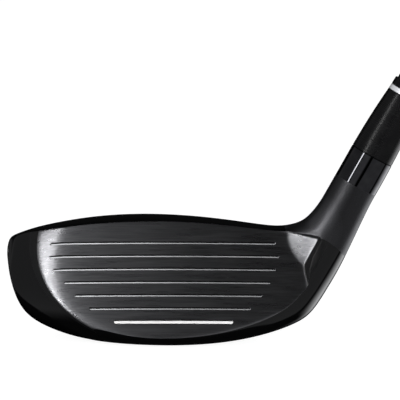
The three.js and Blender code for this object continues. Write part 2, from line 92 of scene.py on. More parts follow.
STATIONS = np.array([
    station((-48.95, 27.0), (-48.95, 27.0), 13.8, 13.8, 13.8, 13.8, 0, 1, (2.2, 2.2, 2.1, 2.1)),
    station((-48.4, 29.9), (-48.7, 23.4), 12.9, 19.0, 13.6, 13.7, 0, 1, (2.4, 2.1, 2.1, 2.1)),
    station((-47.0, 31.4), (-47.7, 18.2), 10.6, 24.5, 12.8, 13.2, 0, 1, (3.2, 2.0, 2.1, 2.2)),
    station((-44.0, 32.6), (-45.2, 11.9), 4.9, 31.0, 12.0, 12.7, 0, 1, (5.2, 2.0, 2.1, 2.3)),
    station((-38.7, 34.1), (-40.6, 7.1), 0.6, 38.0, 11.4, 12.2, -0.03, 1, (6.6, 2.0, 2.1, 2.4)),
    station((-31.0, 35.6), (-32.6, 3.5), -2.2, 44.5, 11.0, 11.6, -0.07, 1, (6.4, 1.95, 2.1, 2.5)),
    station((-21.0, 36.9), (-22.0, 1.1), -4.2, 49.5, 11.0, 10.6, -0.12, 1, (5.2, 1.95, 2.1, 2.6)),
    station((-8.0, 37.5), (-8.6, 0.1), -6.0, 52.5, 11.0, 9.6, -0.15, 1, (4.7, 2.2, 2.1, 2.6)),
    station((6.0, 37.0), (5.4, 0.0), -6.2, 52.0, 11.0, 9.0, -0.15, 1, (5.6, 2.1, 2.1, 2.6)),
    station((18.0, 35.85), (18.6, 1.0), -5.4, 47.5, 11.0, 9.0, -0.12, 1, (6.9, 1.85, 2.1, 2.5)),
    station((27.0, 34.8), (29.8, 3.2), -3.2, 40.0, 11.4, 9.6, -0.08, 0.95, (7.6, 1.75, 2.1, 2.4)),
    station((33.0, 34.4), (38.0, 5.9), -0.4, 33.0, 12.0, 11.2, -0.04, 0.89, (7.0, 1.85, 2.1, 2.3)),
    station((37.5, 35.1), (43.6, 9.6), 2.4, 28.5, 13.2, 13.4, 0, 0.70, (5.2, 2.0, 2.05, 2.15)),
    station((41.6, 37.4), (48.4, 16.6), 4.8, 25.2, 14.4, 14.9, 0, 0.3, (2.6, 2.0, 2.0, 2.05)),
    station((45.3, 41.8), (53.2, 25.4), 7.0, 23.0, 14.9, 15.0, 0, 0.1, (2.3, 2.1, 2.0, 2.0)),
    hosel_station(49, HOSEL_RADIUS + 0.12),
    hosel_station(57, HOSEL_RADIUS + 0.04),
    hosel_station(HOSEL_TOP, HOSEL_RADIUS),
])
LAST_STATION = len(STATIONS) - 1
SKIN_ROWS = 300
SKIN_COLUMNS = 300
# The first row of points is just off the toe's tip, where the whole section would be one point
FIRST_ROW = 0.003
NORMAL_STEP = 2e-4
# A corner's normal is taken this share of the way to its face's middle, which keeps the creases crisp
NORMAL_INSET = 0.2

# Rounding of the edge where the face is cut: over most of the face, and past these x at the heel
EDGE_ROUND, HEEL_EDGE_ROUND = 0.3, 0.06
EDGE_ROUND_CHANGE = (30, 36)

# Where the finishes meet: the satin hosel, its polished band, and the metal and satin edge at the heel
SATIN_START = {"along": 36, "square": 0.034, "straight_from": 11, "slope": 0.6}
BAND_LENGTH = 10.0
HEEL_METAL_INSET = 0.2
HEEL_METAL_FROM_X = 28
HEEL_EDGE_FROM = {"x": 15, "below_z": 25, "any_z_x": 36}

# Score lines, from the leading edge up
SCORE_PITCH = 4.06
LEADING_LINE_HEIGHT = 5.5
SCORE_SPANS = [
    (-16.3, 19.6), (-23.6, 24.7), (-28.1, 28.3), (-31.4, 30.8), (-34.6, 32.5), (-35.9, 33.5), (-35.5, 32.3),
]
SCORE_WIDTH, LEADING_WIDTH = 0.8, 1.2
# The paint stops this far above each line's middle; the groove above it is painted near black, a painted
# shade
SCORE_PAINT_TOP, LEADING_PAINT_TOP = 0.06, 0.33
PAINT_INSET = 0.07
GROOVE_WALL = 0.16
GROOVE_DEPTH = 0.42
GROOVE_REACH = 1.0

# The seam round the toe, which fades out between these x and these z
TOE_ARC = {"x": -42, "z": 30, "square": 0.0225, "fourth": 1.25e-5}
SEAM_WIDTH, SEAM_HEIGHT = 0.25, 0.02
SEAM_FADE_X, SEAM_FADE_Z = (-18, -26), (34, 31)

# Cuts along and beside the crease, the seam and the grooves' edges, so that the mesh follows their curves
TOE_CREASE_CUTS = (-0.9, -0.35, 0, 0.35, 0.9)
SEAM_CUTS = (-1.5 * SEAM_WIDTH, 0, 1.5 * SEAM_WIDTH)
GROOVE_CUTS = (0, PAINT_INSET, GROOVE_WALL)
# Steps of narrowing down where an edge of the mesh meets a line
CUT_STEPS = 5

# Value of a field where its line can't be, well on the negative side
OUTSIDE = -20.0


def natural_spline(values, start):
    """A natural cubic spline through values at whole numbers, the first one at start."""
    values = np.asarray(values, float)
    count = len(values)
    matrix = np.eye(count)
    right = np.zeros(count)
    for i in range(1, count - 1):
        matrix[i, i - 1:i + 2] = 1, 4, 1
        right[i] = 6 * (values[i + 1] - 2 * values[i] + values[i - 1])
    bend = np.linalg.solve(matrix, right)

    def at(u):
        i = np.clip(np.floor(u - start).astype(int), 0, count - 2)
        t = u - start - i
        r = 1 - t
        return values[i] * r + values[i + 1] * t + ((r**3 - r) * bend[i] + (t**3 - t) * bend[i + 1]) / 6

    return at


def through_toe(before, after):
    """One spline down one column of the stations to the toe's tip and back up another column."""
    return natural_spline([*STATIONS[:0:-1, before], *STATIONS[:, after]], -LAST_STATION)


rail_x, rail_z, rail_y = through_toe(0, 2), through_toe(1, 3), through_toe(4, 5)
crown_y, sole_y, edge, lean, top_front, bottom_front, top_back, bottom_back = [
    through_toe(column, column) for column in range(6, 14)
]


def head_point(u, angle):
    """Points of the head's skin before the face is cut; angle turns from the top to the front."""
    c, s = np.cos(angle), np.sin(angle)
    is_top, is_front = c >= 0, s >= 0
    corner = np.where(
        is_front,
        np.where(is_top, top_front(u), bottom_front(u)),
        np.where(is_top, top_back(u), bottom_back(u)),
    )
    size = (np.abs(c) ** corner + np.abs(s) ** corner) ** (-1 / corner)
    rise, reach = np.abs(c) * size, np.abs(s) * size
    middle = np.where(is_front, 0.0, edge(u))
    share = np.where(is_top, middle + (1 - middle) * rise, middle - (1 + middle) * rise)
    x = (rail_x(-u) + rail_x(u)) / 2 + (rail_x(-u) - rail_x(u)) / 2 * share
    z = (rail_z(-u) + rail_z(u)) / 2 + (rail_z(-u) - rail_z(u)) / 2 * share
    y0 = np.where(is_top, crown_y(u), sole_y(u))
    y = np.where(is_front, y0 - (y0 - rail_y(-u)) * reach, y0 + (rail_y(u) - y0) * reach)
    return x, y + (z - LEADING_EDGE_Z) * math.tan(LOFT) * lean(u), z


def soft_positive(value, blend):
    """The value where it is positive and 0 where it isn't, with a rounded corner between."""
    return (value + np.hypot(value, blend)) / 2


def smooth_step(low, high, value):
    """0 at low, 1 at high and smooth between; low may be the larger one."""
    t = np.clip((value - low) / (high - low), 0, 1)
    return t * t * (3 - 2 * t)


def hosel_coordinates(x, z):
    """Distance along the shaft's axis from the ground, and distance across it towards the toe."""
    along = (x - AXIS_GROUND_X) * math.cos(LIE) + z * math.sin(LIE)
    across = -(x - AXIS_GROUND_X) * math.sin(LIE) + z * math.cos(LIE)
    return along, across


def heel_edge(along):
    """Place across the shaft's axis of the line down the heel where the face's metal ends."""
    return HEEL_EDGE["across"] + HEEL_EDGE["square"] * np.maximum(HEEL_EDGE["along"] - along, 0) ** 2


def heel_crease(along):
    """Place across the shaft's axis of the crease where the face rises to the hosel's front."""
    further = smooth_step(HEEL_CREASE["from"], HEEL_CREASE["to"], along)
    inside = HEEL_CREASE["inside"] + HEEL_CREASE["more"] * further
    return heel_edge(along) + inside


def toe_crease(z):
    """Place of the crease where the face's metal turns back round the toe, at each height."""
    below = TOE_CREASE["z"] - z
    return TOE_CREASE["x"] + TOE_CREASE["square"] * below**2 + TOE_CREASE["fourth"] * below**4


def face_y(x, z):
    """Depth of the face: a lofted plane with bulge and roll, turned back at the toe, ramped to the hosel."""
    bulge = (x - FACE_CENTRE[0]) ** 2 / (2 * BULGE_RADIUS)
    roll = ((z - FACE_CENTRE[1]) ** 2 - (LEADING_EDGE_Z - FACE_CENTRE[1]) ** 2) / (2 * ROLL_RADIUS)
    face = (z - LEADING_EDGE_Z) * math.tan(LOFT) + bulge + roll
    off_middle = z - TOE_ROLL["z"]
    past_toe = TOE_ROLL["x"] + TOE_ROLL["square"] * off_middle**2 + TOE_ROLL["fourth"] * off_middle**4 - x
    face += TOE_ROLL["slope"] * soft_positive(past_toe, TOE_ROLL["blend"])
    past_ramp = x - HEEL_RAMP["x"] - HEEL_RAMP["curl"] * np.maximum(HEEL_RAMP["curl_z"] - z, 0) ** 2
    ramp_slope = HEEL_RAMP["slope"] * smooth_step(HEEL_RAMP["gone"], HEEL_RAMP["full"], z)
    face -= ramp_slope * soft_positive(past_ramp, HEEL_RAMP["blend"])
    above_ramp = z - RAMP_TOP["z"] + RAMP_TOP["fall"] * (x - HEEL_RAMP["x"])
    face -= RAMP_TOP["slope"] * soft_positive(above_ramp, RAMP_TOP["blend"])
    along, across = hosel_coordinates(x, z)
    rise = HEEL_CREASE["slope"] * smooth_step(HEEL_CREASE["start"], HEEL_CREASE["full"], along)
    face -= rise * soft_positive(heel_crease(along) - across, HEEL_CREASE["blend"])
    return face + TOE_CREASE["slope"] * soft_positive(toe_crease(z) - x, TOE_CREASE["blend"])


# --- Fields over the skin, each positive on one side of a line on the head -------------------------
def cut_depth(u, angle):
    """How far the face's cut goes into the skin."""
    x, y, z = head_point(u, angle)
    return np.where(np.sin(angle) > 0, face_y(x, z) - y, OUTSIDE)


def satin_side(u, angle):
    """Positive towards the hosel, past the curved line where its satin finish starts."""
    x, _, z = head_point(u, angle)
    along, across = hosel_coordinates(x, z)
    edge_of_curve = SATIN_START["straight_from"]
    curved = SATIN_START["along"] - SATIN_START["square"] * np.minimum(across, edge_of_curve) ** 2
    return along - (curved + SATIN_START["slope"] * np.maximum(across - edge_of_curve, 0))


def band_side(u, angle):
    """Positive past the line round the hosel where its polished band starts."""
    x, _, z = head_point(u, angle)
    return hosel_coordinates(x, z)[0] - (HOSEL_TOP - BAND_LENGTH)


def heel_side(u, angle):
    """Positive on the face's side of the line down the heel where its satin edge ends."""
    x, _, z = head_point(u, angle)
    along, across = hosel_coordinates(x, z)
    return across - heel_edge(along)


def heel_crease_side(u, angle):
    """Positive on the face's side of the crease at the heel, where its brushed metal ends."""
    x, _, z = head_point(u, angle)
    along, across = hosel_coordinates(x, z)
    return across - heel_crease(along) - HEEL_METAL_INSET


def toe_arc(x, z):
    """Distance from the seam round the toe where the face's metal ends, positive towards the face."""
    below = TOE_ARC["z"] - z
    return x - (TOE_ARC["x"] + TOE_ARC["square"] * below**2 + TOE_ARC["fourth"] * below**4)


def toe_side(u, angle):
    """Positive on the face's side of the seam round the toe."""
    x, _, z = head_point(u, angle)
    return toe_arc(x, z)


def toe_crease_side(u, angle):
    """Positive on the face's side of the crease at the toe."""
    x, _, z = head_point(u, angle)
    return x - toe_crease(z)


def face_height(x, z):
    """Distance up the face from the leading edge."""
    return face_y(x, z) * math.sin(LOFT) + (z - LEADING_EDGE_Z) * math.cos(LOFT)


def groove_inside(x, height, line):
    """How far a point is inside the edge of one score line's groove."""
    low, high = SCORE_SPANS[line]
    radius = (SCORE_WIDTH if line else LEADING_WIDTH) / 2
    beyond = np.maximum(np.abs(x - (low + high) / 2) - (high - low) / 2 + radius, 0)
    return radius - np.hypot(beyond, height - LEADING_LINE_HEIGHT - line * SCORE_PITCH)


def groove_field(line):
    """The field that is positive inside one score line's groove."""

    def inside(u, angle):
        x, _, z = head_point(u, angle)
        return np.where(np.sin(angle) > 0, groove_inside(x, face_height(x, z), line), OUTSIDE)

    return inside


def painted_side(line):
    """The field that is positive below the top of the paint, which fills a groove's lower part."""
    top = LEADING_LINE_HEIGHT + line * SCORE_PITCH + (SCORE_PAINT_TOP if line else LEADING_PAINT_TOP)

    def below(u, angle):
        x, _, z = head_point(u, angle)
        is_near = groove_inside(x, face_height(x, z), line) > -GROOVE_REACH
        return np.where((np.sin(angle) > 0) & is_near, top - face_height(x, z), OUTSIDE)

    return below


def skin_point(u, angle):
    """The finished skin of the head: the cut face, its rounded edges, the toe's seam and the grooves."""
    x, y, z = head_point(u, angle)
    is_front = np.sin(angle) > 0
    depth = face_y(x, z)
    rounding = EDGE_ROUND + (HEEL_EDGE_ROUND - EDGE_ROUND) * smooth_step(*EDGE_ROUND_CHANGE, x)
    cut = (y + depth + np.hypot(y - depth, rounding)) / 2
    seam = np.exp(-(toe_arc(x, z) / SEAM_WIDTH) ** 2)
    seam = seam * smooth_step(*SEAM_FADE_X, x) * smooth_step(*SEAM_FADE_Z, z)
    y = np.where(is_front, cut - SEAM_HEIGHT * seam, y)
    height = face_height(x, z)
    sunk = np.zeros_like(x)
    for line in range(len(SCORE_SPANS)):
        sunk = np.maximum(sunk, smooth_step(0, GROOVE_WALL, groove_inside(x, height, line)))
    sunk = np.where(is_front & (cut - depth < GROOVE_REACH), sunk * GROOVE_DEPTH, 0)
    return np.stack([x, y + sunk * math.cos(LOFT), z - sunk * math.sin(LOFT)], -1)


def skin_normals(params):
    """Outward normals of the finished skin."""
    u, angle = params[:, 0], params[:, 1]
    low, high = np.maximum(u - NORMAL_STEP, 1e-6), np.minimum(u + NORMAL_STEP, LAST_STATION)
    along = skin_point(high, angle) - skin_point(low, angle)
    around = skin_point(u, angle + NORMAL_STEP) - skin_point(u, angle - NORMAL_STEP)
    normals = np.cross(along, around)
    return normals / np.maximum(np.linalg.norm(normals, axis=1, keepdims=True), 1e-12)


# --- Cutting the skin into pieces along those lines ------------------------------------------------
def skin_patch():
    """The whole skin as points (station, angle) and four-sided faces."""
    stations = np.linspace(0, LAST_STATION, SKIN_ROWS + 1)
    stations[0] = FIRST_ROW
    angles = np.linspace(0, 2 * math.pi, SKIN_COLUMNS + 1)
    params = np.stack(np.meshgrid(stations, angles, indexing="ij"), -1).reshape(-1, 2)
    wide = SKIN_COLUMNS + 1
    faces = [
        (i * wide + j, (i + 1) * wide + j, (i + 1) * wide + j + 1, i * wide + j + 1)
        for i in range(SKIN_ROWS) for j in range(SKIN_COLUMNS)
    ]
    return params, faces


def cut_patch(params, faces, field, level=0.0):
    """Splits the faces along field = level, so that edges of the mesh follow that line."""
    values = field(params[:, 0], params[:, 1]) - level
    positive = values > 0
    sizes = np.array([len(face) for face in faces])
    corners = np.fromiter(itertools.chain.from_iterable(faces), int)
    count = np.add.reduceat(positive[corners].astype(int), np.cumsum(sizes) - sizes)
    made, kept = {}, []
    for face, is_split in zip(faces, (count > 0) & (count < sizes)):
        if not is_split:
            kept.append(face)
            continue
        sides = {True: [], False: []}
        for a, b in zip(face, face[1:] + face[:1]):
            sides[bool(positive[a])].append(a)
            if positive[a] != positive[b]:
                new = made.setdefault((min(a, b), max(a, b)), len(params) + len(made))
                sides[True].append(new)
                sides[False].append(new)
        kept += [tuple(side) for side in sides.values() if len(side) > 2]
    if not made:
        return params, kept
    a, b = np.array(list(made)).T
    low, high, at_low, at_high = params[a], params[b], values[a], values[b]
    for _ in range(CUT_STEPS):
        middle = low + (high - low) * (at_low / (at_low - at_high))[:, None]
        found = field(middle[:, 0], middle[:, 1]) - level
        same = (found > 0) == (at_low > 0)
        low, at_low = np.where(same[:, None], middle, low), np.where(same, found, at_low)
        high, at_high = np.where(same[:, None], high, middle), np.where(same, at_high, found)
    return np.vstack([params, middle]), kept


def new_object(name, points, faces, material, normals=None):
    """A smooth mesh object, from points in millimetres; normals are one for each corner of each face."""
    mesh = bpy.data.meshes.new(name)
    mesh.from_pydata((np.asarray(points) * MM).tolist(), [], faces)
    mesh.polygons.foreach_set("use_smooth", [True] * len(mesh.polygons))
    mesh.materials.append(material)
    mesh.update()
    if normals is not None:
        mesh.normals_split_custom_set(normals.tolist())
    made = bpy.data.objects.new(name, mesh)
    bpy.context.scene.collection.objects.link(made)
    return made


def skin_object(name, params, faces, material):
    """One piece of the skin, with only the points that its faces use."""
    used = np.unique(np.fromiter(itertools.chain.from_iterable(faces), int))
    place = np.full(len(params), -1)
    place[used] = np.arange(len(used))
    own = params[used]
    own_faces = [tuple(place[list(face)].tolist()) for face in faces]
    places = skin_point(own[:, 0], own[:, 1])
    near_corners = np.concatenate([
        own[list(face)] * (1 - NORMAL_INSET) + own[list(face)].mean(axis=0) * NORMAL_INSET
        for face in own_faces
    ])
    return new_object(name, places, own_faces, material, skin_normals(near_corners))


def belongs(piece, slot, *nodes):
    """Rides the piece on the club's one body and hides the CAD nodes it stands for; slot is not used."""
    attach(piece, "root")
    if nodes:
        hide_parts(*nodes)


def head_regions(params, faces):
    """The skin's faces by piece name, from where each face's middle lies."""
    middles = np.array([params[list(face)].mean(axis=0) for face in faces])
    u, angle = middles.T
    x, _, z = head_point(u, angle)
    is_front = np.sin(angle) > 0
    is_cut = cut_depth(u, angle) > 0
    is_low_heel = (z < HEEL_EDGE_FROM["below_z"]) & (x > HEEL_EDGE_FROM["x"])
    is_heel = is_low_heel | (x > HEEL_EDGE_FROM["any_z_x"])
    on_heel_edge = is_front & (heel_side(u, angle) > 0) & is_heel
    region = np.full(len(faces), "head_paint", dtype=object)
    region[is_cut] = "face_metal"
    region[is_cut & (x < toe_crease(z))] = "toe_edge"
    region[is_cut & (x < toe_crease(z)) & (toe_side(u, angle) < 0)] = "head_paint"
    region[~is_cut & on_heel_edge] = "heel_edge"
    region[is_cut & (x > HEEL_METAL_FROM_X) & (heel_crease_side(u, angle) < 0)] = "heel_edge"
    region[~is_cut & (satin_side(u, angle) > 0)] = "hosel_satin"
    region[band_side(u, angle) > 0] = "hosel_band"
    for line in range(len(SCORE_SPANS)):
        inside = np.where(is_cut, groove_inside(x, face_height(x, z), line), OUTSIDE)
        # The grooves' walls and the floor above the paint get near-black steel: painted shade in the grooves
        region[inside > 0] = "groove_walls"
        is_painted = (inside > PAINT_INSET) & (painted_side(line)(u, angle) > 0)
        region[is_painted] = f"score_paint_{line}" if line else "leading_paint"
    return {name: [faces[i] for i in np.flatnonzero(region == name)] for name in sorted(set(region))}


def make_head():
    """The head's skin, cut along its creases, finishes, seam and grooves into one piece for each finish."""
    params, faces = skin_patch()
    for field in (cut_depth, satin_side, band_side, heel_side, heel_crease_side):
        params, faces = cut_patch(params, faces, field)
    for level in TOE_CREASE_CUTS:
        params, faces = cut_patch(params, faces, toe_crease_side, level)
    for level in SEAM_CUTS:
        params, faces = cut_patch(params, faces, toe_side, level)
    for line in range(len(SCORE_SPANS)):
        for level in GROOVE_CUTS:
            params, faces = cut_patch(params, faces, groove_field(line), level)
        params, faces = cut_patch(params, faces, painted_side(line))
    regions = head_regions(params, faces)
    white = filled_paint("leading_white", (0.93, 0.93, 0.92), 0.45)
    # The silver lines take painted shade towards the heel
    silver = filled_paint("score_silver", (0.72, 0.73, 0.75), 0.35, brightness_at_heel=0.42)
    finishes = {
        "head_paint": (gloss_paint(), "head_black", ["head_body"]),
        "face_metal": (brushed_steel(), "face_steel", ["face_plate"]),
        "groove_walls": (groove_shade_steel(), "face_steel", []),
        "toe_edge": (satin_paint(), "head_black", []),
        "heel_edge": (satin_paint(), "head_black", []),
        "hosel_satin": (satin_steel(), "head_black", []),
        "hosel_band": (polished_steel(), "head_black", []),
        "leading_paint": (white, "fill_white", ["leading_fill"]),
    }
    for line in range(1, len(SCORE_SPANS)):
        finishes[f"score_paint_{line}"] = (silver, "fill_silver", [f"score_fill_{line}"])
    for name, (material, slot, nodes) in finishes.items():
        belongs(skin_object(name, params, regions[name], material), slot, *nodes)


# --- Turned pieces about the shaft's axis ----------------------------------------------------------
AXIS_FOOT = np.array([AXIS_GROUND_X, AXIS_BACK_Y, 0.0])
AXIS = np.array([math.cos(LIE), 0.0, math.sin(LIE)])
AXIS_SIDE = np.array([math.sin(LIE), 0.0, -math.cos(LIE)])
AXIS_BACK = np.array([0.0, 1.0, 0.0])
GAP = 0.03
CLUB_LENGTH = 1005.0
BORE_RADIUS = 5.05
SHARP_ANGLE = math.radians(35)
# Points round the shaft and the grip, along the ferrule's cone and along the shaft
SHAFT_SEGMENTS, GRIP_SEGMENTS, CONE_ROWS, SHAFT_ROWS = 96, 176, 32, 120

# The hosel's mouth: rim and chamfer, and how deep its wall goes
MOUTH_EDGE, MOUTH_CHAMFER, MOUTH_DEPTH = 0.15, 0.3, 6
MOUTH_WALL_INSET, MOUTH_LIP_INSET, MOUTH_LIP_DROP = 0.6, 0.1, 0.4

# The ferrule: radii up its cone, lengths of its pieces, and their rounded edges
FERRULE_FOOT, FERRULE_BULGE, FERRULE_NECK, FERRULE_TOP = 6.7, 6.5, 5.55, 5.35
FERRULE_BULGE_AT = 0.55
FERRULE_BODY, FERRULE_RING, FERRULE_CAP = 20.5, 1.6, 2.5
FERRULE_FOOT_CHAMFER, FERRULE_RING_EDGE, FERRULE_RING_TAPER, FERRULE_TOP_EDGE = 0.3, 0.2, 0.08, 0.25
FERRULE_CAP_INSET, FERRULE_CAP_CHAMFER, FERRULE_CAP_RISE = 0.2, 0.1, 0.15

# The shaft, which is drawn from just above the hosel's top
SHAFT_TIP, SHAFT_BUTT, SHAFT_PARALLEL = 4.7, 7.6, 190.0
SHAFT_WALL, SHAFT_START = 1.2, 0.5

# The butt cap, with a shallow ring groove in its end and a vent hole
CAP_LENGTH, CAP_RADIUS, CAP_EDGE, VENT_RADIUS = 5.0, 13.4, 1.6, 1.0
CAP_FOOT_EDGE, CAP_FOOT_INSET, VENT_CHAMFER = 0.5, 0.8, 0.4
CAP_GROOVE_RADII, CAP_GROOVE_DEPTH = (9.0, 8.6, 7.9, 7.5), 0.35

# The grip: its outer radius at places along it, its lip, and its fit over the shaft and the tape
GRIP_LENGTH = 262.0
GRIP_FROM, GRIP_TO = CLUB_LENGTH - CAP_LENGTH - GRIP_LENGTH, CLUB_LENGTH - CAP_LENGTH - GAP
GRIP_PLACES = (0, 4, 40, 130, 215, GRIP_LENGTH)
GRIP_RADII = (8.9, 9.6, 10.4, 11.4, 12.6, 13.2)
GRIP_LIP, GRIP_OVER_SHAFT = 0.7, 1.0
GRIP_ROW, GRIP_FIRST_ROW, GRIP_LAST_ROW, GRIP_BORE_INSET = 0.42, 0.8, 0.2, 0.1

# The grip's tread: crossed helical grooves between the margins, and ring grooves near each end
TREAD_MARGIN, TREAD_LEAD, TREAD_STARTS, TREAD_WIDTH, TREAD_DEPTH = 14.0, 58.0, 14, 0.55, 0.35
TREAD_FADE, TREAD_FLOOR = 1, 0.4
RING_PLACES = (GRIP_FROM + 6, GRIP_FROM + 9, GRIP_TO - 8, GRIP_TO - 5)
RING_OUTSIDE, RING_FLOOR = 0.8, 0.35


def turned(name, profile, material, segments=128, relief=None):
    """A closed profile of (radius, distance along the axis) points turned round the shaft's axis.

    relief gives how far each point is sunk, from its distance along the axis and its turn.
    """
    profile = np.asarray(profile, float)
    turns = np.arange(segments) * 2 * math.pi / segments
    radius, along = (np.repeat(profile[:, k, None], segments, axis=1) for k in (0, 1))
    turn = np.repeat(turns[None, :], len(profile), axis=0)
    if relief is not None:
        radius = radius - relief(along, turn)
    side = np.cos(turn)[..., None] * AXIS_SIDE + np.sin(turn)[..., None] * AXIS_BACK
    points = AXIS_FOOT + along[..., None] * AXIS + radius[..., None] * side
    rows = len(profile)
    faces = [
        (i * segments + j, i * segments + (j + 1) % segments,
         (i + 1) % rows * segments + (j + 1) % segments, (i + 1) % rows * segments + j)
        for i in range(rows) for j in range(segments)
    ]
    made = new_object(name, points.reshape(-1, 3), faces, material)
    made.data.set_sharp_from_angle(angle=SHARP_ANGLE)
    return made


def rounded_corner(radius, along, edge, towards, steps=5):
    """Profile points round an outer corner; towards is 1 at the profile's far end and -1 at its near end."""
    turns = np.linspace(0, math.pi / 2, steps)
    points = [
        (radius - edge * (1 - math.cos(t)), along - towards * edge * (1 - math.sin(t))) for t in turns
    ]
    return points if towards > 0 else points[::-1]


def curve_through(first, middle, last, steps):
    """A quadratic curve from first to last that bends towards middle."""
    t = np.linspace(0, 1, steps)[:, None]
    a, b, c = (np.array(p, float) for p in (first, middle, last))
    return a * (1 - t) ** 2 + 2 * b * t * (1 - t) + c * t**2


def make_ferrule():
    """The ferrule's cone, the bright ring above it and the short end piece above that."""
    foot = HOSEL_TOP + GAP
    top = HOSEL_TOP + FERRULE_BODY
    bulge = (FERRULE_BULGE, foot + (top - foot) * FERRULE_BULGE_AT)
    side = curve_through((FERRULE_FOOT, foot + FERRULE_FOOT_CHAMFER), bulge, (FERRULE_NECK, top), CONE_ROWS)
    profile = [(BORE_RADIUS, foot), (FERRULE_FOOT - FERRULE_FOOT_CHAMFER, foot), *side, (BORE_RADIUS, top)]
    plastic = gloss_plastic()
    belongs(turned("ferrule_sleeve", profile, plastic), "ferrule_black", "ferrule_body")
    low = top + GAP
    high = low + FERRULE_RING - GAP
    profile = [
        (BORE_RADIUS, low), *rounded_corner(FERRULE_NECK, low, FERRULE_RING_EDGE, -1),
        *rounded_corner(FERRULE_NECK - FERRULE_RING_TAPER, high, FERRULE_RING_EDGE, 1), (BORE_RADIUS, high),
    ]
    belongs(turned("ferrule_band", profile, bright_trim()), "ferrule_trim", "ferrule_ring")
    low = HOSEL_TOP + FERRULE_BODY + FERRULE_RING + GAP
    high = low + FERRULE_CAP - GAP
    profile = [
        (BORE_RADIUS, low), (FERRULE_NECK - FERRULE_CAP_INSET, low),
        (FERRULE_NECK - FERRULE_CAP_CHAMFER, low + FERRULE_CAP_RISE),
        *rounded_corner(FERRULE_TOP, high, FERRULE_TOP_EDGE, 1), (BORE_RADIUS, high),
    ]
    belongs(turned("ferrule_tip", profile, plastic), "ferrule_black", "ferrule_cap")


def make_hosel_mouth():
    """The hosel's rim and the start of its bore."""
    floor = HOSEL_TOP - MOUTH_DEPTH
    profile = [
        *rounded_corner(HOSEL_RADIUS, HOSEL_TOP, MOUTH_EDGE, 1), (BORE_RADIUS + MOUTH_CHAMFER, HOSEL_TOP),
        (BORE_RADIUS, HOSEL_TOP - MOUTH_CHAMFER), (BORE_RADIUS, floor),
        (HOSEL_RADIUS - MOUTH_WALL_INSET, floor),
        (HOSEL_RADIUS - MOUTH_LIP_INSET, HOSEL_TOP - MOUTH_LIP_DROP),
    ]
    belongs(turned("hosel_mouth", profile, polished_steel()), "head_black")


def shaft_radius(along):
    """The shaft's outer radius: parallel at the tip, then a taper."""
    share = np.clip((along - SHAFT_PARALLEL) / (CLUB_LENGTH - SHAFT_PARALLEL), 0, 1)
    return SHAFT_TIP + (SHAFT_BUTT - SHAFT_TIP) * share


def make_shaft():
    """The shaft's tube, from the hosel's top into the grip."""
    rows = np.linspace(HOSEL_TOP + SHAFT_START, GRIP_TO, SHAFT_ROWS)
    outer = [(shaft_radius(s), s) for s in rows]
    inner = [(shaft_radius(s) - SHAFT_WALL, s) for s in rows[::-1]]
    piece = turned("shaft_tube", [*outer, *inner], shaft_paint(), SHAFT_SEGMENTS)
    belongs(piece, "shaft_black", "shaft")


def grip_radius(along):
    """The grip's outer radius, which swells towards the butt."""
    return np.interp(along, GRIP_FROM + np.array(GRIP_PLACES), GRIP_RADII)


def grip_tread(along, turn):
    """Depth of the moulded tread."""
    start, end = GRIP_FROM + TREAD_MARGIN, GRIP_TO - TREAD_MARGIN
    within = smooth_step(start, start + TREAD_FADE, along) * smooth_step(end, end - TREAD_FADE, along)
    depth = np.zeros_like(along)
    for hand in (1, -1):
        phase = (along / TREAD_LEAD + hand * turn / (2 * math.pi)) * TREAD_STARTS
        distance = np.abs(phase - np.round(phase)) * TREAD_LEAD / TREAD_STARTS
        depth = np.maximum(depth, smooth_step(TREAD_WIDTH, TREAD_WIDTH * TREAD_FLOOR, distance))
    rings = np.zeros_like(along)
    for place in RING_PLACES:
        rings = np.maximum(rings, smooth_step(RING_OUTSIDE, RING_FLOOR, np.abs(along - place)))
    return TREAD_DEPTH * np.maximum(depth * within, rings)


def tread_outside(along, turn):
    """The tread, kept off the sleeve's inner wall, which is the profile's last two rows."""
    depth = grip_tread(along, turn)
    depth[-2:] = 0
    return depth


def make_grip():
    """The grip's sleeve, with the tread in its outside."""
    rows = np.arange(GRIP_FROM + GRIP_FIRST_ROW, GRIP_TO - GRIP_LAST_ROW, GRIP_ROW)
    outer = [(grip_radius(s), s) for s in rows]
    ends = (GRIP_TO - GRIP_BORE_INSET, GRIP_FROM + GRIP_BORE_INSET)
    inner = [(shaft_radius(s) + GRIP_OVER_SHAFT, s) for s in ends]
    lip = rounded_corner(grip_radius(rows[0]), GRIP_FROM, GRIP_LIP, -1)
    piece = turned("grip_sleeve", [*lip, *outer, *inner], grip_rubber(), GRIP_SEGMENTS, tread_outside)
    belongs(piece, "grip_rubber", "grip")


def make_grip_cap():
    """The butt cap, with a ring groove and the vent hole in its end."""
    low, high = CLUB_LENGTH - CAP_LENGTH, CLUB_LENGTH
    floor = high - CAP_GROOVE_DEPTH
    profile = [
        (VENT_RADIUS, low), (CAP_RADIUS - CAP_FOOT_INSET, low),
        *rounded_corner(CAP_RADIUS, low, CAP_FOOT_EDGE, -1)[1:],
        *rounded_corner(CAP_RADIUS, high, CAP_EDGE, 1, 10),
        *zip(CAP_GROOVE_RADII, (high, floor, floor, high)),
        (VENT_RADIUS + VENT_CHAMFER, high), (VENT_RADIUS, high - VENT_CHAMFER),
    ]
    belongs(turned("butt_cap", profile, grip_rubber()), "grip_rubber", "grip_cap")


# --- Materials -------------------------------------------------------------------------------------
# Most of a noise's values lie in this range
NOISE_LOW, NOISE_HIGH = 0.3, 0.7
# Middle of the spot over the face's heel corner where the satin finish is painted brighter as a painted
# sheen, then how that sheen fades and its gain, in millimetres
SHEEN_SPOT = (41, 11, 36)
SHEEN_FADE, SHEEN_GAIN = (12, 2), 2.6
# Middle of the toe's end of the score lines, and how far from it their paint is darkened as painted shade, in
# millimetres
LINES_LIT_END = (-36, 8, 26)
PAINTED_SHADE_SPAN = (12, 44)


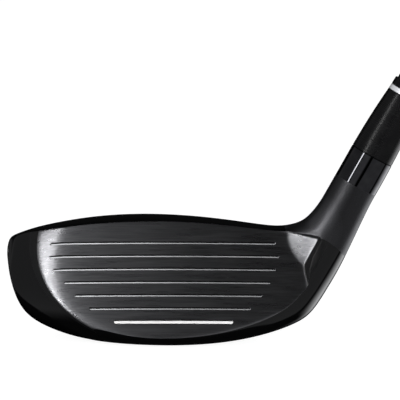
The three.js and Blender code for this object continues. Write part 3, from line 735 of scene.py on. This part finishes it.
class Surface:
    """A material with one principled shader, and helpers that link procedural detail to it."""

    def __init__(self, name, colour, roughness, metallic=0.0, **sockets):
        self.material = bpy.data.materials.new(name)
        self.material.use_nodes = True
        self.nodes = self.material.node_tree.nodes
        self.links = self.material.node_tree.links
        self.shader = self.nodes["Principled BSDF"]
        self.place = self.nodes.new("ShaderNodeTexCoord").outputs["Object"]
        values = {"Base Color": (*colour, 1), "Roughness": roughness, "Metallic": metallic}
        for key, value in sockets.items():
            values[key.replace("_", " ").title().replace("Ior", "IOR")] = value
        for key, value in values.items():
            self.shader.inputs[key].default_value = value
        self.normal = None

    def stretched(self, size, axis_x=(1, 0, 0), squeeze=(1, 1, 1)):
        """Coordinates in millimetres divided by size, turned so that X follows axis_x, then squeezed."""
        mapping = self.nodes.new("ShaderNodeMapping")
        mapping.vector_type = "TEXTURE"
        mapping.inputs["Rotation"].default_value = Vector(axis_x).to_track_quat("X", "Z").to_euler()
        mapping.inputs["Scale"].default_value = [size * MM * part for part in squeeze]
        self.links.new(self.place, mapping.inputs["Vector"])
        return mapping.outputs["Vector"]

    def noise(self, vector, detail=3.0, roughness=0.55):
        """Noise whose largest lumps are about one unit of the coordinates."""
        node = self.nodes.new("ShaderNodeTexNoise")
        node.inputs["Scale"].default_value = 1.0
        node.inputs["Detail"].default_value = detail
        node.inputs["Roughness"].default_value = roughness
        self.links.new(vector, node.inputs["Vector"])
        return node.outputs["Fac"]

    def distance(self, point):
        """Distance in millimetres from a point of the club."""
        node = self.nodes.new("ShaderNodeVectorMath")
        node.operation = "DISTANCE"
        node.inputs[1].default_value = point
        self.links.new(self.stretched(1), node.inputs[0])
        return node.outputs["Value"]

    def ramp(self, value, low, high, at_low, at_high):
        """Maps value from low..high to at_low..at_high, both numbers or both colours."""
        if isinstance(at_low, tuple):
            node = self.nodes.new("ShaderNodeValToRGB")
            node.color_ramp.elements[0].position, node.color_ramp.elements[1].position = low, high
            node.color_ramp.elements[0].color, node.color_ramp.elements[1].color = (*at_low, 1), (*at_high, 1)
            self.links.new(value, node.inputs["Fac"])
            return node.outputs["Color"]
        node = self.nodes.new("ShaderNodeMapRange")
        for key, number in zip(("From Min", "From Max", "To Min", "To Max"), (low, high, at_low, at_high)):
            node.inputs[key].default_value = number
        self.links.new(value, node.inputs["Value"])
        return node.outputs["Result"]

    def spread(self, noise, at_low, at_high):
        """Maps most of a noise's range to at_low..at_high."""
        return self.ramp(noise, NOISE_LOW, NOISE_HIGH, at_low, at_high)

    def mixed(self, first, second):
        """The product of two values."""
        node = self.nodes.new("ShaderNodeMath")
        node.operation = "MULTIPLY"
        self.links.new(first, node.inputs[0])
        self.links.new(second, node.inputs[1])
        return node.outputs["Value"]

    def drive(self, socket, value):
        """Links a value to one of the shader's sockets."""
        self.links.new(value, self.shader.inputs[socket])

    def bump(self, height, depth):
        """Adds relief of that depth in millimetres."""
        node = self.nodes.new("ShaderNodeBump")
        node.inputs["Strength"].default_value = 1.0
        node.inputs["Distance"].default_value = depth * MM
        self.links.new(height, node.inputs["Height"])
        if self.normal is not None:
            self.links.new(self.normal, node.inputs["Normal"])
        self.normal = node.outputs["Normal"]
        self.links.new(self.normal, self.shader.inputs["Normal"])


def gloss_paint():
    """Black gloss paint with fine flecks, a cloudy polish and faint orange peel."""
    paint = Surface("gloss_paint", (0.006, 0.006, 0.007), 0.3)
    cloud = paint.noise(paint.stretched(9))
    speck = paint.noise(paint.stretched(0.35), detail=2)
    paint.drive("Base Color", paint.ramp(speck, 0.35, 0.75, (0.0015, 0.0015, 0.0017), (0.003, 0.003, 0.0033)))
    paint.drive("Roughness", paint.spread(cloud, 0.05, 0.11))
    paint.bump(paint.noise(paint.stretched(1.6), detail=1), 0.004)
    return paint.material


def satin_paint():
    """Black satin paint with a fine spray texture."""
    paint = Surface("satin_paint", (0.006, 0.006, 0.007), 0.35, specular_ior_level=0.5)
    spray = paint.noise(paint.stretched(0.3), detail=3)
    cloud = paint.noise(paint.stretched(7))
    paint.drive("Base Color", paint.ramp(spray, 0.35, 0.75, (0.002, 0.002, 0.0023), (0.005, 0.005, 0.0053)))
    paint.drive("Roughness", paint.spread(cloud, 0.28, 0.38))
    paint.bump(spray, 0.003)
    return paint.material


def brushed_steel():
    """Dark plated steel, brushed along the face."""
    steel = Surface("brushed_steel", (0.26, 0.26, 0.27), 0.29, metallic=1.0)
    fine = steel.noise(steel.stretched(0.45, squeeze=(26, 1, 1)), detail=2)
    coarse = steel.noise(steel.stretched(1.4, squeeze=(14, 1, 1)), detail=2)
    cloud = steel.noise(steel.stretched(6), detail=1)
    steel.drive("Base Color", steel.spread(fine, (0.215, 0.215, 0.225), (0.31, 0.31, 0.322)))
    steel.drive("Roughness", steel.spread(coarse, 0.26, 0.32))
    steel.bump(cloud, 0.006)
    return steel.material


def groove_shade_steel():
    """The walls of the score lines and the groove above their paint, painted near black as painted shade in
    the grooves.
    """
    steel = Surface("groove_shade_steel", (0.004, 0.004, 0.004), 0.6, specular_ior_level=0.15)
    grain = steel.noise(steel.stretched(0.2), detail=3)
    steel.drive("Base Color", steel.spread(grain, (0.002, 0.002, 0.002), (0.006, 0.006, 0.006)))
    steel.drive("Roughness", steel.spread(grain, 0.5, 0.7))
    return steel.material


def satin_steel():
    """Dark plated steel with a blasted satin finish, and a painted sheen that makes it brighter round a spot
    near the face's heel corner.
    """
    steel = Surface("satin_steel", (0.065, 0.065, 0.07), 0.42, metallic=1.0)
    grain = steel.noise(steel.stretched(0.22), detail=4)
    cloud = steel.noise(steel.stretched(6))
    # Painted sheen: the base colour grows brighter towards the spot near the face's heel corner
    wear_and_sheen = steel.ramp(steel.distance(SHEEN_SPOT), *SHEEN_FADE, 0, 1)
    shade = steel.mixed(steel.ramp(wear_and_sheen, 0, 1, 1, SHEEN_GAIN), steel.spread(grain, 0.056, 0.078))
    steel.drive("Base Color", steel.ramp(shade, 0, 1, (0, 0, 0), (1, 1, 1.06)))
    steel.drive("Roughness", steel.spread(cloud, 0.38, 0.46))
    steel.bump(grain, 0.006)
    return steel.material


def polished_steel():
    """Black-nickel plated and polished, with fine lines round the hosel from turning."""
    steel = Surface("polished_steel", (0.06, 0.06, 0.065), 0.09, metallic=1.0)
    lines = steel.noise(steel.stretched(0.22, axis_x=AXIS, squeeze=(1, 60, 60)), detail=3)
    haze = steel.noise(steel.stretched(3))
    steel.drive("Base Color", steel.spread(haze, (0.052, 0.052, 0.057), (0.078, 0.078, 0.083)))
    steel.drive("Roughness", steel.spread(lines, 0.035, 0.065))
    steel.bump(lines, 0.0015)
    return steel.material


def filled_paint(name, colour, roughness, brightness_at_heel=1.0):
    """Paint wiped into a groove, a little uneven along it, and darker away from the toe: painted shade, as
    the light falls from the toe's side.
    """
    paint = Surface(name, colour, roughness)
    uneven = paint.noise(paint.stretched(0.7, squeeze=(3, 1, 1)), detail=3)
    # Painted shade: the paint darkens away from the toe's end of the lines, down to the share given for the
    # heel
    painted_shade = paint.ramp(paint.distance(LINES_LIT_END), *PAINTED_SHADE_SPAN, 1, brightness_at_heel)
    shade = paint.mixed(painted_shade, paint.ramp(uneven, 0.3, 0.6, 0.85, 1))
    paint.drive("Base Color", paint.ramp(shade, 0.0, 1.0, (0, 0, 0), colour))
    paint.drive("Roughness", paint.spread(uneven, roughness + 0.12, roughness))
    paint.bump(uneven, 0.02)
    return paint.material


def gloss_plastic():
    """Black turned plastic with a buffed gloss."""
    plastic = Surface("ferrule_plastic", (0.015, 0.015, 0.016), 0.26, specular_ior_level=0.2)
    rings = plastic.noise(plastic.stretched(0.3, axis_x=AXIS, squeeze=(1, 40, 40)), detail=2)
    haze = plastic.noise(plastic.stretched(4))
    plastic.drive("Base Color", plastic.spread(haze, (0.003, 0.003, 0.0033), (0.006, 0.006, 0.0064)))
    plastic.drive("Roughness", plastic.spread(rings, 0.23, 0.30))
    plastic.bump(rings, 0.002)
    return plastic.material


def bright_trim():
    """Bright satin aluminium."""
    trim = Surface("bright_trim", (0.82, 0.83, 0.86), 0.4, metallic=0.2)
    lines = trim.noise(trim.stretched(0.15, axis_x=AXIS, squeeze=(1, 30, 30)), detail=3)
    trim.drive("Base Color", trim.spread(lines, (0.74, 0.75, 0.78), (0.86, 0.87, 0.90)))
    trim.drive("Roughness", trim.spread(lines, 0.26, 0.38))
    trim.bump(lines, 0.003)
    return trim.material


def shaft_paint():
    """Black paint under clear lacquer, with a faint woven pattern below it."""
    paint = Surface("shaft_paint", (0.006, 0.006, 0.007), 0.3, coat_weight=1.0, coat_roughness=0.04)
    first = paint.noise(paint.stretched(0.5, axis_x=AXIS + AXIS_SIDE, squeeze=(8, 1, 1)), detail=2)
    second = paint.noise(paint.stretched(0.5, axis_x=AXIS - AXIS_SIDE, squeeze=(8, 1, 1)), detail=2)
    paint.drive("Base Color", paint.ramp(first, 0.35, 0.7, (0.004, 0.004, 0.005), (0.012, 0.012, 0.014)))
    paint.drive("Roughness", paint.spread(second, 0.25, 0.42))
    paint.bump(paint.noise(paint.stretched(2.5), detail=1), 0.003)
    return paint.material


def grip_rubber():
    """Matt black rubber with a fine moulded grain, paler where hands have rubbed it."""
    rubber = Surface("grip_rubber", (0.016, 0.016, 0.017), 0.72, sheen_weight=0.15, sheen_roughness=0.6)
    grain = rubber.noise(rubber.stretched(0.28), detail=5, roughness=0.7)
    wear_and_sheen = rubber.noise(rubber.stretched(26), detail=2)
    rubber.drive("Base Color", rubber.ramp(wear_and_sheen, 0.35, 0.7, (0.013, 0.013, 0.014), (0.028, 0.027, 0.027)))
    rubber.drive("Roughness", rubber.spread(grain, 0.62, 0.86))
    rubber.bump(grain, 0.03)
    return rubber.material


def cast_metal(name, colour, grain_size, roughness):
    """A plain metal with a cast or machined grain, for the weights inside the head and shaft."""
    metal = Surface(name, colour, roughness, metallic=1.0)
    grain = metal.noise(metal.stretched(grain_size), detail=4)
    darker = tuple(0.7 * part for part in colour)
    metal.drive("Base Color", metal.spread(grain, darker, colour))
    metal.drive("Roughness", metal.spread(grain, roughness + 0.15, roughness - 0.05))
    metal.bump(grain, 0.02)
    return metal.material


def paper_tape():
    """Crepe paper tape, wrinkled across its length."""
    paper = Surface("paper_tape", (0.68, 0.62, 0.48), 0.85)
    wrinkles = paper.noise(paper.stretched(0.8, axis_x=AXIS, squeeze=(1, 5, 5)), detail=4)
    paper.drive("Base Color", paper.spread(wrinkles, (0.58, 0.52, 0.40), (0.72, 0.66, 0.52)))
    paper.drive("Roughness", paper.spread(wrinkles, 0.95, 0.78))
    paper.bump(wrinkles, 0.08)
    return paper.material


def paint_hidden_nodes():
    """Materials for the CAD nodes that stay: they are all inside the club."""
    kept = {
        "sole_weight": cast_metal("dense_alloy", (0.32, 0.31, 0.30), 0.6, 0.5),
        "tip_weight": cast_metal("tip_brass", (0.60, 0.42, 0.16), 0.4, 0.35),
        "grip_tape": paper_tape(),
    }
    for node, material in kept.items():
        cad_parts[node].material_slots[0].material = material


# --- Floor, lights and camera ----------------------------------------------------------------------
TARGET = Vector((9.6, 6.0, 44.07)) * MM
CAMERA_DISTANCE = 1.5
CAMERA_PITCH = math.radians(6)
CAMERA_CLIP = (0.05, 500)
FIELD_WIDTH = 0.12
FLOOR_REACH = 60.0
# Lights: bearing in degrees, distance, height, width and tallness in metres, and radiance
STRIP_LIGHT = (-44, 2.0, 0.9, 0.16, 2.2, 14.0)
FILL_LIGHT = (0, 2.5, 0.35, 1.8, 1.0, 8.4)
STUDIO_TINT = (0.97, 0.98, 1, 1)
STUDIO_BASE = 0.005
# Soft panels of the studio: left and right bearing, lowest and highest elevation, softness, radiance
STUDIO_PANELS = [
    (-128, -8, -42, 46, 5, 0.185),
    (-36, -8, -42, 46, 4, 0.185),
    (5, 84, -60, 20, 2, 0.28),
    (104, 150, -35, 45, 14, 2.4),
]


def make_floor():
    """A pale floor with an even light of its own, which the camera sees and the club doesn't."""
    bottom = cad_bounds[0][2]
    far = FLOOR_REACH
    corners = [(-far, -far, bottom), (far, -far, bottom), (far, far, bottom), (-far, far, bottom)]
    mesh = bpy.data.meshes.new("floor")
    mesh.from_pydata(corners, [], [(0, 1, 2, 3)])
    floor = bpy.data.objects.new("floor", mesh)
    bpy.context.scene.collection.objects.link(floor)
    pale = Surface("pale_floor", (0.35, 0.35, 0.35), 0.9, emission_color=(1, 1, 1, 1), emission_strength=0.93)
    mesh.materials.append(pale.material)
    floor.visible_glossy = False
    floor.visible_diffuse = False
    floor.visible_shadow = False


def area_light(name, bearing, distance, height, width, tall, radiance):
    """A rectangular light. Its bearing is from the camera's side, positive towards the heel."""
    bearing = math.radians(bearing)
    light = bpy.data.lights.new(name, "AREA")
    light.shape = "RECTANGLE"
    light.size, light.size_y = width, tall
    light.energy = radiance * math.pi * width * tall
    made = bpy.data.objects.new(name, light)
    made.location = TARGET + Vector((math.sin(bearing), -math.cos(bearing), 0)) * distance
    made.location.z = height
    aim = TARGET - made.location
    aim.z = 0
    made.rotation_euler = aim.to_track_quat("-Z", "Y").to_euler()
    made.visible_camera = False
    bpy.context.scene.collection.objects.link(made)
    return made


class WorldMaths:
    """Small sums on the direction that a ray leaves in, in degrees, for the studio's panels."""

    def __init__(self, tree):
        self.nodes, self.links = tree.nodes, tree.links
        direction = self.nodes.new("ShaderNodeSeparateXYZ")
        self.links.new(self.nodes.new("ShaderNodeTexCoord").outputs["Generated"], direction.inputs["Vector"])
        x, y, z = direction.outputs
        to_degrees = 180 / math.pi
        self.bearing = self.sum("MULTIPLY", self.sum("ARCTAN2", x, self.sum("MULTIPLY", y, -1)), to_degrees)
        self.elevation = self.sum("MULTIPLY", self.sum("ARCSINE", z), to_degrees)

    def sum(self, operation, *values):
        """The result of one operation on numbers or other results."""
        node = self.nodes.new("ShaderNodeMath")
        node.operation = operation
        for socket, value in zip(node.inputs, values):
            if isinstance(value, (int, float)):
                socket.default_value = value
            else:
                self.links.new(value, socket)
        return node.outputs["Value"]

    def step(self, value, low, high):
        """A smooth step of value from 0 at low to 1 at high."""
        node = self.nodes.new("ShaderNodeMapRange")
        node.interpolation_type = "SMOOTHSTEP"
        for key, number in zip(("From Min", "From Max", "To Min", "To Max"), (low, high, 0, 1)):
            node.inputs[key].default_value = number
        self.links.new(value, node.inputs["Value"])
        return node.outputs["Result"]

    def panel(self, left, right, bottom, top, soft, radiance):
        """A soft-edged panel between two bearings and two elevations, in degrees."""
        sides = self.sum(
            "MULTIPLY", self.step(self.bearing, left - soft, left + soft),
            self.step(self.bearing, right + soft, right - soft),
        )
        ends = self.sum(
            "MULTIPLY", self.step(self.elevation, bottom - soft, bottom + soft),
            self.step(self.elevation, top + soft, top - soft),
        )
        return self.sum("MULTIPLY", self.sum("MULTIPLY", sides, ends), radiance)


def make_world():
    """White behind the object as the camera sees it, and a dim studio of soft panels for light."""
    world = bpy.data.worlds.new("studio")
    world.use_nodes = True
    bpy.context.scene.world = world
    nodes, links = world.node_tree.nodes, world.node_tree.links
    maths = WorldMaths(world.node_tree)
    total = STUDIO_BASE
    for panel in STUDIO_PANELS:
        total = maths.sum("ADD", maths.panel(*panel), total)
    seen, studio = nodes["Background"], nodes.new("ShaderNodeBackground")
    seen.inputs["Color"].default_value = (1, 1, 1, 1)
    studio.inputs["Color"].default_value = STUDIO_TINT
    links.new(total, studio.inputs["Strength"])
    mix = nodes.new("ShaderNodeMixShader")
    links.new(nodes.new("ShaderNodeLightPath").outputs["Is Camera Ray"], mix.inputs["Fac"])
    links.new(studio.outputs["Background"], mix.inputs[1])
    links.new(seen.outputs["Background"], mix.inputs[2])
    links.new(mix.outputs["Shader"], nodes["World Output"].inputs["Surface"])


def make_camera():
    """A long lens in front of the face, a little above it."""
    camera = bpy.data.cameras.new("camera")
    camera.angle = 2 * math.atan(FIELD_WIDTH / 2 / CAMERA_DISTANCE)
    camera.clip_start, camera.clip_end = CAMERA_CLIP
    made = bpy.data.objects.new("camera", camera)
    back = Vector((0, -math.cos(CAMERA_PITCH), math.sin(CAMERA_PITCH)))
    made.location = TARGET + back * CAMERA_DISTANCE
    made.rotation_euler = (math.pi / 2 - CAMERA_PITCH, 0, 0)
    bpy.context.scene.collection.objects.link(made)
    bpy.context.scene.camera = made


make_head()
make_hosel_mouth()
make_ferrule()
make_shaft()
make_grip()
make_grip_cap()
paint_hidden_nodes()
make_floor()
area_light("strip", *STRIP_LIGHT)
fill = area_light("fill", *FILL_LIGHT)
fill.visible_glossy = False
make_world()
make_camera()
bpy.context.scene.view_settings.view_transform = "Standard"
